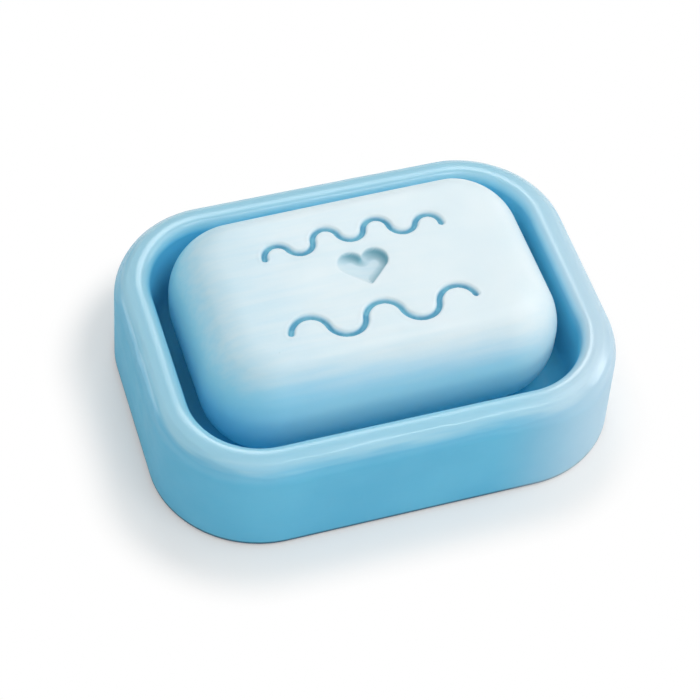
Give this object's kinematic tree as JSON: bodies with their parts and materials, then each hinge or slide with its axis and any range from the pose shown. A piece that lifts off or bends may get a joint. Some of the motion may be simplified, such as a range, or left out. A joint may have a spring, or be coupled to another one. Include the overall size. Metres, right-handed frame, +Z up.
{
  "type": "rubber eraser",
  "caption": "Rubber eraser shaped as a rounded soap bar with a sunk heart and wavy grooves, lying loose in a matching rounded-rectangle rubber dish.",
  "frame": {"origin": "middle of the dish's flat underside", "axes": "+X along the dish's length, +Y to its back and +Z up out of its hollow"},
  "size_m": [0.07, 0.0524, 0.023],
  "materials": {
    "dish_rubber": "satin",
    "bar_rubber": "satin"
  },
  "bodies": {
    "root": {"dish": "dish_rubber", "eraser_bar": "bar_rubber"}
  },
  "joints": []
}
